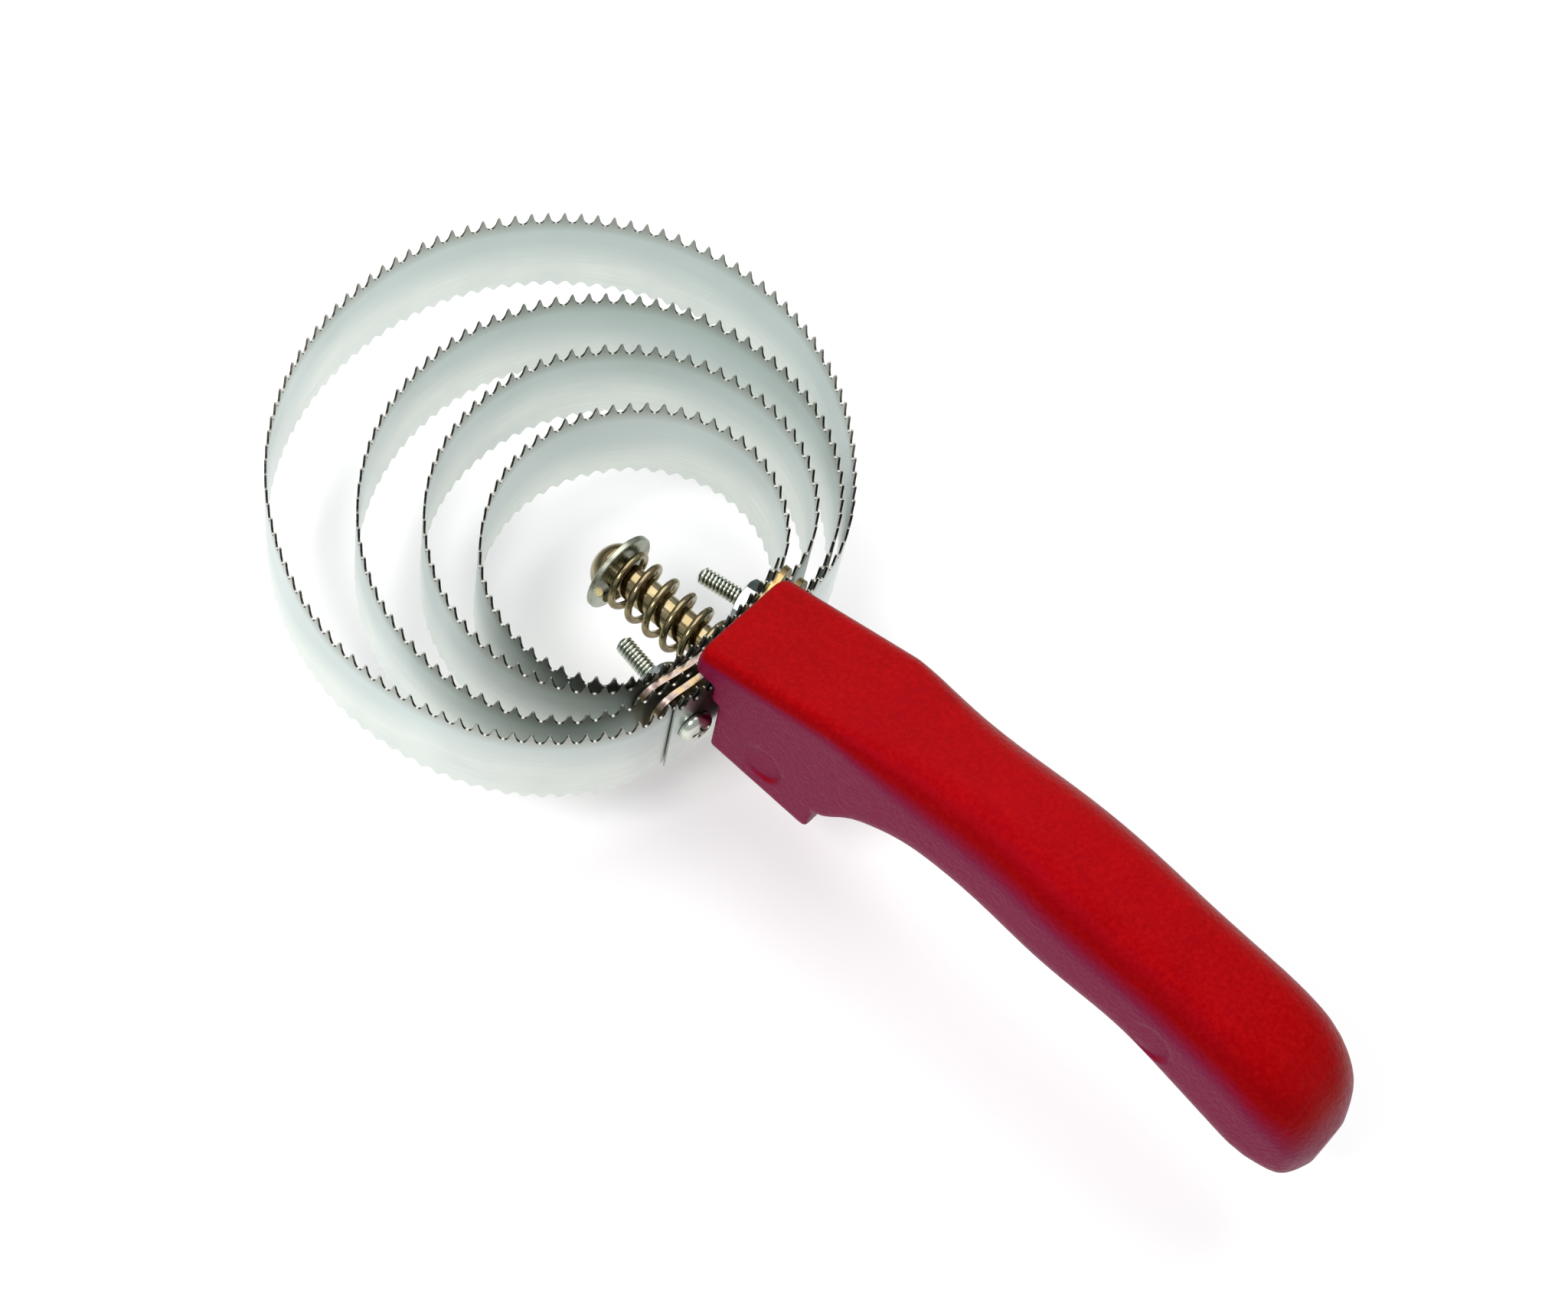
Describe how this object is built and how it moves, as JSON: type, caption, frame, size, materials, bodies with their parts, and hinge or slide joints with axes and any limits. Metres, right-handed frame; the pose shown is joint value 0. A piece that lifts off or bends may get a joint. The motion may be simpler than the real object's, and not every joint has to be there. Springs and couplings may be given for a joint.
{
  "type": "spiral curry comb",
  "caption": "Reversible curry comb for grooming livestock: toothed spring-steel spiral in a bolted clamp, on a spring-loaded bolt with an offset moulded grip that turns half a turn.",
  "frame": {"origin": "middle of the bounding box's base: the plane the strip's lower edge lies in", "axes": "+X along the draw bolt from the spiral to the end of the grip, +Z towards the toothed edge, +Y to the left when looking along +X"},
  "size_m": [0.2334, 0.1147, 0.0401],
  "materials": {
    "strip_steel": "satin, plated",
    "gold_zinc": "satin, yellow passivated zinc",
    "white_zinc": "bright zinc plate",
    "spring_zinc": "glossy, yellow passivated zinc",
    "red_plastic": "satin, fine moulded grain"
  },
  "bodies": {
    "head": {"spiral_blade": "strip_steel", "inner_clamp_plate": "gold_zinc", "outer_clamp_plate": "gold_zinc", "left_clamp_screw": "white_zinc", "right_clamp_screw": "white_zinc", "left_clamp_nut": "white_zinc", "right_clamp_nut": "white_zinc", "return_spring": "spring_zinc"},
    "washer": {"bolt_washer": "white_zinc"},
    "handle": {"draw_bolt": "spring_zinc", "handle": "red_plastic", "captive_nut": "white_zinc"}
  },
  "joints": [
    {"name": "handle_pull", "type": "slide", "parent": "head", "child": "washer", "axis": [1, 0, 0], "range_m": [0, 0.006], "stiffness_N_per_m": 1500, "springref_m": -0.0133, "deforming": ["return_spring"]},
    {"name": "handle_turn", "type": "hinge", "parent": "washer", "child": "handle", "pos_m": [-0.0162, -0.0052, 0.0104], "axis": [1, 0, 0], "range_deg": [0, 180]}
  ]
}
